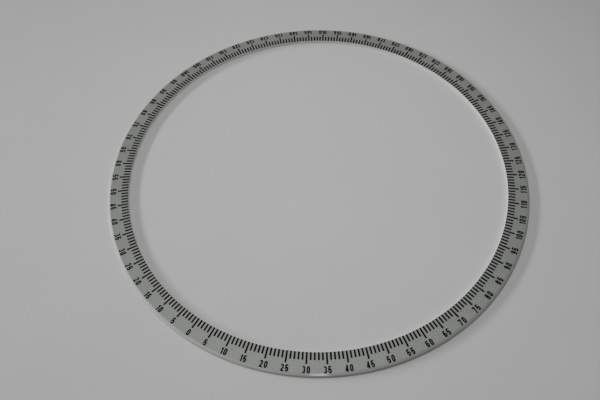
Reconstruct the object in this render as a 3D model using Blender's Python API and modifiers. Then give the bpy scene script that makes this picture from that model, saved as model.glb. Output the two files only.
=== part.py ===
"""Graduated degree ring: a thin flat metal ring whose face carries a printed 2 x 180 degree scale.

Frame, in metres: +Z is the axis of the ring, the back face lies on Z = 0 and the face looks up.
The 0 line is on -Y and the 180 line on +Y. Seen from above, the right-hand scale runs from 0
through 90 on +X, and the left-hand scale through 90 on -X.
"""

import math

import bmesh
import bpy
from mathutils import Matrix, Vector

# Driving dimensions
OUTER_DIAMETER = 0.2000
BORE_DIAMETER = 0.1802
OVERALL_THICKNESS = 0.0015   # back face to the top of the face layer
FACE_THICKNESS = 0.0001      # printed face layer
BOND_LINE = 0.00002          # clearance between the metal and the face layer
PRINT_HEIGHT = 0.00003       # how far the printed lines stand proud of the face
BEVEL_WIDTH = 0.0008         # shallow turned bevel outside the face layer
BEVEL_DROP = 0.00022
SHOULDER_WIDTH = 0.00045     # steeper shoulder between the bevel and the outer wall
SHOULDER_DROP = 0.0004
EDGE_BREAK = 0.0001          # every other turned edge

# Graduation
DEGREES = 360
DEGREES_PER_LONG_LINE = 5
LINE_WIDTH = 0.00075
SHORT_LINE_LENGTH = 0.00335
LONG_LINE_LENGTH = 0.0050
LINE_ROOT = 0.00004          # how deep the print is keyed into the face layer

RING_STEPS = 180             # facets round the ring

OUTER_RADIUS = OUTER_DIAMETER / 2
BORE_RADIUS = BORE_DIAMETER / 2
FACE_BOTTOM = OVERALL_THICKNESS - FACE_THICKNESS
METAL_TOP = FACE_BOTTOM - BOND_LINE
FACE_INNER_RADIUS = BORE_RADIUS + EDGE_BREAK
SHOULDER_RADIUS = OUTER_RADIUS - SHOULDER_WIDTH
FACE_OUTER_RADIUS = SHOULDER_RADIUS - BEVEL_WIDTH


def clear_scene():
    """Remove whatever objects the open file holds."""
    for old in list(bpy.data.objects):
        bpy.data.objects.remove(old, do_unlink=True)


def make_collection(name):
    """A new collection under the scene."""
    group = bpy.data.collections.new(name)
    bpy.context.scene.collection.children.link(group)
    return group


def make_material(name, colour, roughness, metallic):
    """A Principled material with uniform values."""
    material = bpy.data.materials.new(name)
    material.use_nodes = True
    shader = material.node_tree.nodes["Principled BSDF"]
    shader.inputs["Base Color"].default_value = (*colour, 1.0)
    shader.inputs["Roughness"].default_value = roughness
    shader.inputs["Metallic"].default_value = metallic
    return material


def make_turned(name, profile, group, material):
    """A closed profile of (radius, height) points turned once round Z by a Screw modifier."""
    mesh = bpy.data.meshes.new(name)
    bm = bmesh.new()
    points = [bm.verts.new((radius, 0.0, height)) for radius, height in profile]
    for start, end in zip(points, points[1:] + points[:1]):
        bm.edges.new((start, end))
    bm.to_mesh(mesh)
    bm.free()

    turned = bpy.data.objects.new(name, mesh)
    turned.data.materials.append(material)
    group.objects.link(turned)

    screw = turned.modifiers.new("turn", "SCREW")
    screw.axis = "Z"
    screw.angle = math.tau
    screw.steps = RING_STEPS
    screw.render_steps = RING_STEPS
    screw.use_merge_vertices = True
    screw.merge_threshold = 0.000001
    screw.use_smooth_shade = True
    return turned


def make_graduation(name, group):
    """All the degree lines as bars, each starting near the bore and keyed into the face layer."""
    mesh = bpy.data.meshes.new(name)
    bm = bmesh.new()
    height = LINE_ROOT + PRINT_HEIGHT
    middle = OVERALL_THICKNESS - LINE_ROOT + height / 2
    for degree in range(DEGREES):
        is_long = degree % DEGREES_PER_LONG_LINE == 0
        length = LONG_LINE_LENGTH if is_long else SHORT_LINE_LENGTH
        inner = FACE_INNER_RADIUS + EDGE_BREAK
        outer = BORE_RADIUS + length
        centre = Vector((0.0, -(inner + outer) / 2, middle))
        turn = Matrix.Rotation(math.radians(degree), 4, "Z")
        size = Matrix.Diagonal((LINE_WIDTH, outer - inner, height, 1.0))
        bmesh.ops.create_cube(bm, size=1.0, matrix=turn @ Matrix.Translation(centre) @ size)
    bm.to_mesh(mesh)
    bm.free()

    lines = bpy.data.objects.new(name, mesh)
    lines.hide_render = True
    lines.display_type = "WIRE"
    group.objects.link(lines)
    return lines


def build_ring_body(group, material):
    """The metal ring, with a shallow bevel and a shoulder at its upper outer edge."""
    profile = [
        (FACE_OUTER_RADIUS, METAL_TOP),
        (SHOULDER_RADIUS, METAL_TOP - BEVEL_DROP),
        (OUTER_RADIUS, METAL_TOP - BEVEL_DROP - SHOULDER_DROP),
        (OUTER_RADIUS, EDGE_BREAK),
        (OUTER_RADIUS - EDGE_BREAK, 0.0),
        (BORE_RADIUS + EDGE_BREAK, 0.0),
        (BORE_RADIUS, EDGE_BREAK),
        (BORE_RADIUS, METAL_TOP - EDGE_BREAK),
        (BORE_RADIUS + EDGE_BREAK, METAL_TOP),
    ]
    return make_turned("ring_body", profile, group, material)


def build_scale_face(group, cutters, material):
    """The thin graduated layer on the face of the metal ring."""
    profile = [
        (FACE_OUTER_RADIUS, OVERALL_THICKNESS),
        (FACE_OUTER_RADIUS, FACE_BOTTOM),
        (FACE_INNER_RADIUS, FACE_BOTTOM),
        (FACE_INNER_RADIUS, OVERALL_THICKNESS),
    ]
    face = make_turned("scale_face", profile, group, material)
    print_lines = face.modifiers.new("graduation", "BOOLEAN")
    print_lines.operation = "UNION"
    print_lines.solver = "EXACT"
    print_lines.object = make_graduation("graduation_lines", cutters)
    return face


def main():
    """Build the two pieces of the ring."""
    clear_scene()
    ring = make_collection("degree_ring")
    cutters = make_collection("tools")
    metal = make_material("turned_aluminium", (0.55, 0.56, 0.55), 0.50, 1.0)
    coat = make_material("satin_grey_face", (0.33, 0.345, 0.315), 0.48, 0.0)
    build_ring_body(ring, metal)
    build_scale_face(ring, cutters, coat)


main()
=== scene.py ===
import math

import bmesh
import bpy
from mathutils import Matrix, Vector


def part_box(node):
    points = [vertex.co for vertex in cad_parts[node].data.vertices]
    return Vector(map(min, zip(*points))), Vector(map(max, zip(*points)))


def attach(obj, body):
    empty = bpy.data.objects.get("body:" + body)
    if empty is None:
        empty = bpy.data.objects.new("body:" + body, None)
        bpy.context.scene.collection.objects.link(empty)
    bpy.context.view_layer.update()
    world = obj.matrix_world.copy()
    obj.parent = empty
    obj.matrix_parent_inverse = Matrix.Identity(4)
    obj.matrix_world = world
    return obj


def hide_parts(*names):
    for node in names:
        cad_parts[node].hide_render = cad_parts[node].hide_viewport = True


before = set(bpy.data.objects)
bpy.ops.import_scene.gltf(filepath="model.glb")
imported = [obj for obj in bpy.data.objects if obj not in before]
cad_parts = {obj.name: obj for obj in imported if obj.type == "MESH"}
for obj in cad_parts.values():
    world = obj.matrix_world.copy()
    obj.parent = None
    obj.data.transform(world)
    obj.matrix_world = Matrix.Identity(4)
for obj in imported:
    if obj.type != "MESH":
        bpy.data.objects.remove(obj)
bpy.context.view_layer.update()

# Sizes are in metres. The 0 line lies on -Y, and the right-hand scale runs counter-clockwise
# from it, seen from above.
MM = 0.001


def smallest_radius(node):
    """Distance from the Z axis to the nearest corner of a CAD node."""
    return min(math.hypot(v.co.x, v.co.y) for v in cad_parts[node].data.vertices)


BORE_RADIUS = smallest_radius("ring_body")
OUTER_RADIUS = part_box("ring_body")[1].x
METAL_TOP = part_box("ring_body")[1].z
FACE_INNER = smallest_radius("scale_face")
FACE_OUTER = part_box("scale_face")[1].x
FACE_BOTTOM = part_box("scale_face")[0].z
PRINT_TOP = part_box("scale_face")[1].z
PRINT_HEIGHT = 0.03 * MM
FACE_TOP = PRINT_TOP - PRINT_HEIGHT
METAL_ROUNDING = 0.12 * MM
FACE_ROUNDING = 0.03 * MM
SHOULDER_INNER = OUTER_RADIUS - 0.45 * MM
BEVEL_FOOT = METAL_TOP - 0.22 * MM
SHOULDER_FOOT = BEVEL_FOOT - 0.40 * MM

# Graduation
HALF_SCALE = 180
LABEL_STEP = 5
LINE_WIDTH = 0.75 * MM
SHORT_LINE = 3.35 * MM
LONG_LINE = 5.0 * MM
LINE_START = BORE_RADIUS + 0.12 * MM
LINE_CORNER = 0.06 * MM
PRINT_ROOT = 0.01 * MM

# Numerals, with their tops towards the bore
DIGIT_HEIGHT = 2.88 * MM
DIGIT_TOP_RADIUS = BORE_RADIUS + 5.75 * MM
DIGIT_WIDTH = 0.47
DIGIT_STROKE = 0.195
DIGIT_PITCH = 0.65
ONE_PITCH = 0.53

RING_STEPS = 720

# The same edges in millimetres, the unit that the materials work in
BORE_EDGE = BORE_RADIUS / MM
FACE_START = FACE_INNER / MM
FACE_END = FACE_OUTER / MM
SHOULDER_EDGE = SHOULDER_INNER / MM

# One painted highlight on the bevel: its angle on the right-hand scale, and in millimetres how far
# from its middle it is fully bright and where it ends
HIGHLIGHT_ANGLE = 33.0
HIGHLIGHT_CORE = 2.2
HIGHLIGHT_END = 4.4

# The camera: angles in degrees, lengths in bore radii, the lens in millimetres
EYE_AZIMUTH = 32.77
EYE_ELEVATION = 53.71
EYE_DISTANCE = 3.1145
EYE_TARGET = Vector((0.0354, -0.2125, 0.0))
EYE_ROLL = -2.99
LENS = 34.83

FLOOR_HALF_WIDTH = 1.5
SKY_STRENGTH = 0.16


# Shapes

def new_piece(name, bm, material):
    """A finished piece at the origin, riding on the ring, with the given material."""
    mesh = bpy.data.meshes.new(name)
    bm.to_mesh(mesh)
    bm.free()
    mesh.materials.append(material)
    piece = bpy.data.objects.new(name, mesh)
    bpy.context.scene.collection.objects.link(piece)
    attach(piece, "root")
    return piece


def turned(profile, rounding, segments):
    """A (radius, height) outline with rounded corners, spun once round Z into a closed ring."""
    bm = bmesh.new()
    corners = [bm.verts.new((radius, 0.0, height)) for radius, height in profile]
    bm.faces.new(corners)
    bmesh.ops.bevel(
        bm, geom=corners, offset=rounding, segments=segments,
        profile=0.5, affect="VERTICES", material=-1,
    )
    bmesh.ops.delete(bm, geom=bm.faces[:], context="FACES_ONLY")
    bmesh.ops.spin(
        bm, geom=bm.edges[:], cent=(0, 0, 0), axis=(0, 0, 1), angle=math.tau,
        steps=RING_STEPS, use_merge=True, use_duplicate=False,
    )
    bmesh.ops.remove_doubles(bm, verts=bm.verts[:], dist=0.0001 * MM)
    bmesh.ops.recalc_face_normals(bm, faces=bm.faces[:])
    for face in bm.faces:
        face.smooth = True
    return bm


def keep_flats(piece):
    """Wide turned faces keep their own normals, so that only the rounded corners shade as round."""
    weighted = piece.modifiers.new("flats", "WEIGHTED_NORMAL")
    weighted.mode = "FACE_AREA"
    weighted.weight = 50


def add_line(bm, degree, length):
    """One printed degree line: a thin bar with softened corners, from the bore outwards."""
    end = BORE_RADIUS + length
    height = PRINT_HEIGHT + PRINT_ROOT
    centre = Vector((0.0, -(LINE_START + end) / 2, PRINT_TOP - height / 2))
    place = Matrix.Rotation(math.radians(degree), 4, "Z") @ Matrix.Translation(centre)
    size = Matrix.Diagonal((LINE_WIDTH, end - LINE_START, height, 1.0))
    bar = bmesh.ops.create_cube(bm, size=1.0, matrix=place @ size)["verts"]
    upright = {
        edge for vert in bar for edge in vert.link_edges
        if abs(edge.verts[0].co.z - edge.verts[1].co.z) > height / 2
    }
    bmesh.ops.bevel(
        bm, geom=list(upright), offset=LINE_CORNER, segments=2,
        profile=0.5, affect="EDGES", material=-1,
    )


def graduation(degrees, length):
    """The printed lines at these angles."""
    bm = bmesh.new()
    for degree in degrees:
        add_line(bm, degree, length)
    return bm


# Digits are drawn in a cell one unit high, as the centre lines of strokes of one width. Each
# function gives its strokes as (closed, points) pairs.

HALF = DIGIT_STROKE / 2
LEFT, RIGHT = HALF, DIGIT_WIDTH - HALF
BASE, TOP = HALF, 1 - HALF
MIDDLE_X = DIGIT_WIDTH / 2
WAIST = 0.525
BOWL = (RIGHT - LEFT) / 2


def arc(centre_y, height, start, end, steps, width=BOWL):
    """Points on an upright ellipse in the middle of the cell, between two angles in degrees."""
    angles = [math.radians(start + (end - start) * i / steps) for i in range(steps + 1)]
    return [(MIDDLE_X + width * math.cos(a), centre_y + height * math.sin(a)) for a in angles]


def zero():
    end = 0.20
    return [(True, arc(TOP - end, end, 0, 180, 8) + arc(BASE + end, end, 180, 360, 8))]


def one():
    stem = MIDDLE_X + 0.06
    return [(False, [(stem - 0.17, 0.745), (stem, 0.8655), (stem, 0.0)])]


def two():
    crown = arc(TOP - 0.20, 0.20, 168, -28, 9)
    return [(False, crown + [(0.128, BASE), (DIGIT_WIDTH, BASE)])]


def three():
    upper, lower = (TOP - WAIST) / 2, (WAIST - BASE) / 2
    return [
        (False, arc(WAIST + upper, upper, 158, -90, 10, width=BOWL * 0.94)),
        (False, arc(BASE + lower, lower, 90, -158, 10)),
    ]


def four():
    stem, bar = 0.315, 0.25
    return [
        (False, [(stem - 0.012, 0.885), (0.098, bar), (DIGIT_WIDTH, bar)]),
        (False, [(stem, 1.0), (stem, 0.0)]),
    ]


def five():
    bowl = 0.245
    lower = arc(BASE + bowl, bowl, 118, -158, 11)
    return [(False, [(RIGHT + 0.03, TOP), (0.098, TOP), (0.078, 0.475)] + lower)]


def six():
    bowl, crown = 0.24, 0.20
    tail = [(LEFT, BASE + bowl)] + arc(TOP - crown, crown, 180, 20, 8)
    return [
        (True, arc(BASE + bowl, bowl, 0, 360, 16)[:-1]),
        (False, tail),
    ]


def seven():
    return [(False, [(0.0, TOP), (0.378, TOP), (0.15, 0.005)])]


def eight():
    upper, lower = (TOP - WAIST) / 2, (WAIST - BASE) / 2
    return [
        (True, arc(WAIST + upper, upper, 0, 360, 14, width=BOWL * 0.94)[:-1]),
        (True, arc(BASE + lower, lower, 0, 360, 14)[:-1]),
    ]


def nine():
    return [
        (closed, [(DIGIT_WIDTH - x, 1 - y) for x, y in points]) for closed, points in six()
    ]


def stroke_object(closed, points, height):
    """One stroke: its centre line pulled up into a wall, which Solidify makes a stroke wide."""
    bm = bmesh.new()
    line = [bm.verts.new((x * DIGIT_HEIGHT, y * DIGIT_HEIGHT, 0.0)) for x, y in points]
    pairs = zip(line, line[1:] + line[:1]) if closed else zip(line, line[1:])
    edges = [bm.edges.new(pair) for pair in pairs]
    wall = bmesh.ops.extrude_edge_only(bm, edges=edges)["geom"]
    raised = [item for item in wall if isinstance(item, bmesh.types.BMVert)]
    bmesh.ops.translate(bm, verts=raised, vec=(0.0, 0.0, height))
    mesh = bpy.data.meshes.new("stroke")
    bm.to_mesh(mesh)
    bm.free()
    stroke = bpy.data.objects.new("stroke", mesh)
    bpy.context.scene.collection.objects.link(stroke)
    width = stroke.modifiers.new("width", "SOLIDIFY")
    width.thickness = DIGIT_STROKE * DIGIT_HEIGHT
    width.offset = 0.0
    width.use_even_offset = True
    return stroke


def digit_mesh(strokes):
    """The strokes of one digit joined into a single closed shape."""
    height = PRINT_HEIGHT + PRINT_ROOT
    parts = [stroke_object(closed, points, height) for closed, points in strokes]
    for other in parts[1:]:
        join = parts[0].modifiers.new("join", "BOOLEAN")
        join.operation = "UNION"
        join.solver = "EXACT"
        join.object = other
    graph = bpy.context.evaluated_depsgraph_get()
    mesh = bpy.data.meshes.new_from_object(parts[0].evaluated_get(graph))
    for part in parts:
        bpy.data.objects.remove(part)
    bm = bmesh.new()
    bm.from_mesh(mesh)
    bmesh.ops.remove_doubles(bm, verts=bm.verts[:], dist=0.001 * MM)
    bmesh.ops.dissolve_limit(
        bm, angle_limit=math.radians(1), verts=bm.verts[:], edges=bm.edges[:],
    )
    bmesh.ops.recalc_face_normals(bm, faces=bm.faces[:])
    bm.to_mesh(mesh)
    bm.free()
    return mesh


def add_label(bm, digits, value, degree):
    """A value's digits, centred on its long line, with their tops towards the bore."""
    text = str(value)
    steps = [ONE_PITCH if "1" in pair else DIGIT_PITCH for pair in zip(text, text[1:])]
    start = -(sum(steps) + DIGIT_WIDTH) / 2
    turn = Matrix.Rotation(math.radians(degree), 4, "Z")
    for index, figure in enumerate(text):
        x = (start + sum(steps[:index])) * DIGIT_HEIGHT
        foot = Vector((x, -(DIGIT_TOP_RADIUS + DIGIT_HEIGHT), FACE_TOP - PRINT_ROOT))
        placed = digits[int(figure)].copy()
        placed.transform(turn @ Matrix.Translation(foot))
        bm.from_mesh(placed)
        bpy.data.meshes.remove(placed)


def numerals(digits, labels):
    """All the labels of one part of the scale, as (value, angle) pairs."""
    bm = bmesh.new()
    for value, degree in labels:
        add_label(bm, digits, value, degree)
    return bm


# Materials

# Sockets of a Mix node that mixes colours
MIX_A, MIX_B, MIX_RESULT = 6, 7, 2


def start_material(name):
    """An empty Principled material: its node tree, its shader and its coordinates in millimetres."""
    material = bpy.data.materials.new(name)
    material.use_nodes = True
    tree = material.node_tree
    shader = tree.nodes["Principled BSDF"]
    place = tree.nodes.new("ShaderNodeTexCoord")
    scale = tree.nodes.new("ShaderNodeVectorMath")
    scale.operation = "SCALE"
    scale.inputs["Scale"].default_value = 1 / MM
    tree.links.new(place.outputs["Object"], scale.inputs[0])
    return material, tree, shader, scale.outputs["Vector"]


def noise(tree, vector, scale, detail=3.0, roughness=0.5):
    """A noise value between 0 and 1, with its scale in grains a millimetre."""
    texture = tree.nodes.new("ShaderNodeTexNoise")
    texture.inputs["Scale"].default_value = scale
    texture.inputs["Detail"].default_value = detail
    texture.inputs["Roughness"].default_value = roughness
    tree.links.new(vector, texture.inputs["Vector"])
    return texture.outputs["Fac"]


def remap(tree, value, low, high, to_low=0.0, to_high=1.0):
    """A value carried from one range to another, clamped."""
    change = tree.nodes.new("ShaderNodeMapRange")
    change.inputs["From Min"].default_value = low
    change.inputs["From Max"].default_value = high
    change.inputs["To Min"].default_value = to_low
    change.inputs["To Max"].default_value = to_high
    tree.links.new(value, change.inputs["Value"])
    return change.outputs["Result"]


def math_node(tree, operation, first, second):
    """Arithmetic on two values. The second may be a plain number."""
    node = tree.nodes.new("ShaderNodeMath")
    node.operation = operation
    tree.links.new(first, node.inputs[0])
    if isinstance(second, float):
        node.inputs[1].default_value = second
    else:
        tree.links.new(second, node.inputs[1])
    return node.outputs[0]


def blend(tree, factor, first, second):
    """Two colours mixed by a factor. Each colour is a tuple or another node's output."""
    mix = tree.nodes.new("ShaderNodeMix")
    mix.data_type = "RGBA"
    tree.links.new(factor, mix.inputs["Factor"])
    for index, colour in ((MIX_A, first), (MIX_B, second)):
        if isinstance(colour, tuple):
            mix.inputs[index].default_value = (*colour, 1.0)
        else:
            tree.links.new(colour, mix.inputs[index])
    return mix.outputs[MIX_RESULT]


def bump(tree, shader, height, distance, strength):
    """Fine relief from a height value."""
    relief = tree.nodes.new("ShaderNodeBump")
    relief.inputs["Strength"].default_value = strength
    relief.inputs["Distance"].default_value = distance
    tree.links.new(height, relief.inputs["Height"])
    tree.links.new(relief.outputs["Normal"], shader.inputs["Normal"])


def radius_of(tree, vector):
    """Distance from the ring's axis, in millimetres."""
    flat = tree.nodes.new("ShaderNodeVectorMath")
    flat.operation = "MULTIPLY"
    flat.inputs[1].default_value = (1.0, 1.0, 0.0)
    tree.links.new(vector, flat.inputs[0])
    length = tree.nodes.new("ShaderNodeVectorMath")
    length.operation = "LENGTH"
    tree.links.new(flat.outputs["Vector"], length.inputs[0])
    return length.outputs["Value"]


def hairlines(tree, place, turn, rarity):
    """Fine scratches that run one way: a noise stretched thin, kept only at its peaks."""
    stretch = tree.nodes.new("ShaderNodeMapping")
    stretch.inputs["Rotation"].default_value = (0.0, 0.0, math.radians(turn))
    stretch.inputs["Scale"].default_value = (0.12, 6.0, 1.0)
    tree.links.new(place, stretch.inputs["Vector"])
    streak = noise(tree, stretch.outputs["Vector"], 1.0, 1.0)
    return remap(tree, streak, rarity, rarity + 0.04)


def coat_over_bevel(tree, radius, height):
    """1 on the shallow bevel, which the coat of the face runs over, and 0 on the bare metal."""
    inside = remap(tree, radius, SHOULDER_EDGE - 0.03, SHOULDER_EDGE + 0.03, 1.0, 0.0)
    outside = remap(tree, radius, FACE_END - 0.15, FACE_END - 0.10)
    foot = BEVEL_FOOT / MM
    above = remap(tree, height, foot - 0.06, foot - 0.03)
    return math_node(tree, "MULTIPLY", math_node(tree, "MULTIPLY", inside, outside), above)


def rubbed_spot(tree, place):
    """1 on the one place of the edge where a highlight is painted bright, fading to 0 round it."""
    turn = Matrix.Rotation(math.radians(HIGHLIGHT_ANGLE), 4, "Z")
    middle = turn @ Vector((0.0, -OUTER_RADIUS, METAL_TOP)) / MM
    away = tree.nodes.new("ShaderNodeVectorMath")
    away.operation = "DISTANCE"
    away.inputs[1].default_value = middle
    tree.links.new(place, away.inputs[0])
    return remap(tree, away.outputs["Value"], HIGHLIGHT_CORE, HIGHLIGHT_END, 1.0, 0.0)


def turned_metal():
    """Bare aluminium with fine lathe lines, its bore painted brighter as light and its shoulder and
    outer wall painted darker as shade.

    The bevel wears the coat of the face, but for one place where a highlight is painted near white
    into its colour.
    """
    material, tree, shader, place = start_material("turned_aluminium")
    split = tree.nodes.new("ShaderNodeSeparateXYZ")
    tree.links.new(place, split.inputs[0])
    height = split.outputs["Z"]
    lathe = tree.nodes.new("ShaderNodeCombineXYZ")
    radius = radius_of(tree, place)
    tree.links.new(radius, lathe.inputs["X"])
    tree.links.new(height, lathe.inputs["Y"])
    lines = noise(tree, lathe.outputs[0], 9.0, 5.0, 0.65)
    stain = remap(tree, noise(tree, place, 0.12, 4.0), 0.35, 0.65)
    speck = remap(tree, noise(tree, place, 2.2, 3.0), 0.60, 0.72)
    clean = blend(tree, lines, (0.50, 0.51, 0.51), (0.62, 0.63, 0.62))
    dull = blend(tree, stain, (0.48, 0.49, 0.48), clean)
    bare = blend(tree, speck, dull, (0.36, 0.37, 0.36))
    # Painted shade: the shoulder and the outer wall are made darker than the rest of the metal
    painted_shade_outside = remap(tree, radius, SHOULDER_EDGE, SHOULDER_EDGE + 0.05, 0.0, 0.55)
    bare = blend(tree, painted_shade_outside, bare, (0.38, 0.39, 0.38))
    # Painted light: the bore wall is made brighter than the rest of the metal
    painted_bore_light = remap(tree, radius, BORE_EDGE + 0.02, BORE_EDGE + 0.12, 0.75, 0.0)
    bare = blend(tree, painted_bore_light, bare, (0.80, 0.81, 0.80))
    coated = coat_over_bevel(tree, radius, height)
    painted_highlight = math_node(tree, "MULTIPLY", rubbed_spot(tree, place), coated)
    coat = blend(tree, lines, (0.420, 0.440, 0.406), (0.500, 0.522, 0.486))
    # Painted highlight: the bevel's colour goes near white where the glint shows
    skin = blend(tree, painted_highlight, coat, (0.95, 0.95, 0.94))
    tree.links.new(blend(tree, coated, bare, skin), shader.inputs["Base Color"])
    rough = remap(tree, math_node(tree, "ADD", lines, stain), 0.4, 1.6, 0.60, 0.74)
    polish = math_node(tree, "MULTIPLY", painted_highlight, 0.22)
    tree.links.new(math_node(tree, "SUBTRACT", rough, polish), shader.inputs["Roughness"])
    shine = math_node(tree, "MAXIMUM", remap(tree, coated, 0.0, 1.0, 0.60, 0.50), painted_highlight)
    tree.links.new(shine, shader.inputs["Metallic"])
    bump(tree, shader, lines, 0.006 * MM, 0.6)
    return material


def satin_face():
    """The greenish grey satin layer: fine grain, faint clouds, hairline scratches, rubbed edges."""
    material, tree, shader, place = start_material("satin_grey_face")
    cloud = remap(tree, noise(tree, place, 0.06, 4.0), 0.3, 0.7)
    grain = remap(tree, noise(tree, place, 1.3, 4.0, 0.7), 0.3, 0.7)
    base = blend(tree, cloud, (0.318, 0.334, 0.306), (0.346, 0.362, 0.332))
    dark = blend(tree, cloud, (0.254, 0.268, 0.243), (0.282, 0.297, 0.271))
    coat = blend(tree, grain, dark, base)
    first = hairlines(tree, place, 24.0, 0.70)
    second = hairlines(tree, place, -57.0, 0.71)
    patch = remap(tree, noise(tree, place, 0.10, 2.0), 0.50, 0.62)
    scratch = math_node(tree, "MULTIPLY", math_node(tree, "MAXIMUM", first, second), patch)
    coat = blend(tree, math_node(tree, "MULTIPLY", scratch, 0.45), coat, (0.52, 0.53, 0.51))
    radius = radius_of(tree, place)
    inner = remap(tree, radius, FACE_START, FACE_START + 0.22, 1.0, 0.0)
    outer = remap(tree, radius, FACE_END - 0.22, FACE_END)
    edge = math_node(tree, "MAXIMUM", inner, outer)
    ragged = remap(tree, noise(tree, place, 1.6, 4.0), 0.42, 0.66)
    rub = math_node(tree, "MULTIPLY", edge, ragged)
    tree.links.new(blend(tree, rub, coat, (0.56, 0.57, 0.56)), shader.inputs["Base Color"])
    rough = remap(tree, cloud, 0.0, 1.0, 0.44, 0.52)
    polish = math_node(tree, "MULTIPLY", scratch, 0.10)
    tree.links.new(math_node(tree, "SUBTRACT", rough, polish), shader.inputs["Roughness"])
    shader.inputs["Metallic"].default_value = 0.25
    relief = math_node(tree, "SUBTRACT", grain, scratch)
    bump(tree, shader, relief, 0.004 * MM, 0.5)
    return material


def black_print():
    """Semi-matt black print, slightly uneven in cover."""
    material, tree, shader, place = start_material("black_print")
    grain = noise(tree, place, 5.0, 3.0)
    thin = remap(tree, noise(tree, place, 1.4, 4.0), 0.56, 0.72)
    tone = blend(tree, grain, (0.004, 0.004, 0.004), (0.009, 0.009, 0.008))
    tree.links.new(blend(tree, thin, tone, (0.020, 0.021, 0.019)), shader.inputs["Base Color"])
    tree.links.new(remap(tree, grain, 0.3, 0.7, 0.60, 0.75), shader.inputs["Roughness"])
    shader.inputs["Specular IOR Level"].default_value = 0.12
    bump(tree, shader, grain, 0.003 * MM, 0.4)
    return material


def pale_floor():
    """A plain pale table top, very faintly mottled."""
    material, tree, shader, place = start_material("pale_floor")
    cloud = remap(tree, noise(tree, place, 0.02, 4.0), 0.3, 0.7)
    tone = blend(tree, cloud, (0.735, 0.732, 0.738), (0.765, 0.762, 0.767))
    tree.links.new(tone, shader.inputs["Base Color"])
    shader.inputs["Roughness"].default_value = 0.6
    return material


# The object

metal = turned_metal()
coat = satin_face()
ink = black_print()

ring_profile = [
    (BORE_RADIUS, 0.0),
    (OUTER_RADIUS, 0.0),
    (OUTER_RADIUS, SHOULDER_FOOT),
    (SHOULDER_INNER, BEVEL_FOOT),
    (FACE_OUTER, METAL_TOP),
    (BORE_RADIUS, METAL_TOP),
]
ring = new_piece("metal_ring", turned(ring_profile, METAL_ROUNDING, 3), metal)
keep_flats(ring)
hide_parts("ring_body")

face_profile = [
    (FACE_INNER, FACE_BOTTOM),
    (FACE_OUTER, FACE_BOTTOM),
    (FACE_OUTER, FACE_TOP),
    (FACE_INNER, FACE_TOP),
]
face = new_piece("face_layer", turned(face_profile, FACE_ROUNDING, 2), coat)
keep_flats(face)
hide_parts("scale_face")

circle = range(2 * HALF_SCALE)
long_ones = [degree for degree in circle if degree % LABEL_STEP == 0]
short_ones = [degree for degree in circle if degree % LABEL_STEP]
new_piece("degree_lines", graduation(short_ones, SHORT_LINE), ink)
new_piece("five_degree_lines", graduation(long_ones, LONG_LINE), ink)

shapes = (zero, one, two, three, four, five, six, seven, eight, nine)
digits = [digit_mesh(shape()) for shape in shapes]
values = range(LABEL_STEP, HALF_SCALE, LABEL_STEP)
right_labels = [(value, value) for value in values]
left_labels = [(value, -value) for value in values]
end_labels = [(0, 0), (HALF_SCALE, HALF_SCALE)]
new_piece("numerals_right", numerals(digits, right_labels), ink)
new_piece("numerals_left", numerals(digits, left_labels), ink)
new_piece("numerals_ends", numerals(digits, end_labels), ink)
for digit in digits:
    bpy.data.meshes.remove(digit)


# Floor, lights and camera

def make_floor():
    """A flat square under the ring, which belongs to the stage."""
    bm = bmesh.new()
    bmesh.ops.create_grid(bm, x_segments=1, y_segments=1, size=FLOOR_HALF_WIDTH)
    mesh = bpy.data.meshes.new("floor")
    bm.to_mesh(mesh)
    bm.free()
    mesh.materials.append(pale_floor())
    floor = bpy.data.objects.new("floor", mesh)
    bpy.context.scene.collection.objects.link(floor)


def aimed(place, target):
    """A transform at place whose -Z looks at target, with +Y as far up as it can be."""
    turn = (target - place).to_track_quat("-Z", "Y")
    return Matrix.Translation(place) @ turn.to_matrix().to_4x4()


def on_dome(azimuth, elevation, distance):
    """A point seen from the ring at an azimuth from -Y towards +X, both angles in degrees."""
    a, e = math.radians(azimuth), math.radians(elevation)
    level = math.cos(e)
    return distance * Vector((math.sin(a) * level, -math.cos(a) * level, math.sin(e)))


def add_panel(name, place, width, height, power, spread=180.0):
    """A soft rectangular light that looks at the ring, with its spread in degrees."""
    data = bpy.data.lights.new(name, "AREA")
    data.shape = "RECTANGLE"
    data.size = width
    data.size_y = height
    data.energy = power
    data.spread = math.radians(spread)
    light = bpy.data.objects.new(name, data)
    light.matrix_world = aimed(place, Vector((0.0, 0.0, 0.0)))
    bpy.context.scene.collection.objects.link(light)


def add_sky(strength):
    """An even white light from all sides."""
    world = bpy.data.worlds.new("soft_room")
    world.use_nodes = True
    back = world.node_tree.nodes["Background"]
    back.inputs["Color"].default_value = (1.0, 1.0, 1.0, 1.0)
    back.inputs["Strength"].default_value = strength
    bpy.context.scene.world = world


def add_camera():
    """The camera stands to the near right of the 0 line and looks down."""
    data = bpy.data.cameras.new("camera")
    data.lens = LENS
    data.sensor_width = 36.0
    data.clip_start = 0.01
    camera = bpy.data.objects.new("camera", data)
    level = Vector((0.0, 0.0, FACE_TOP))
    place = level + on_dome(EYE_AZIMUTH, EYE_ELEVATION, EYE_DISTANCE * BORE_RADIUS)
    target = level + EYE_TARGET * BORE_RADIUS
    roll = Matrix.Rotation(math.radians(EYE_ROLL), 4, "Z")
    camera.matrix_world = aimed(place, target) @ roll
    bpy.context.scene.collection.objects.link(camera)
    bpy.context.scene.camera = camera


make_floor()
add_sky(SKY_STRENGTH)
add_panel(
    "ceiling", Vector((-0.05, 0.03, 0.40)), width=0.30, height=0.30, power=0.110, spread=60.0,
)
add_panel("window", on_dome(-68.0, 14.0, 1.6), width=1.3, height=0.12, power=27.4)
add_camera()
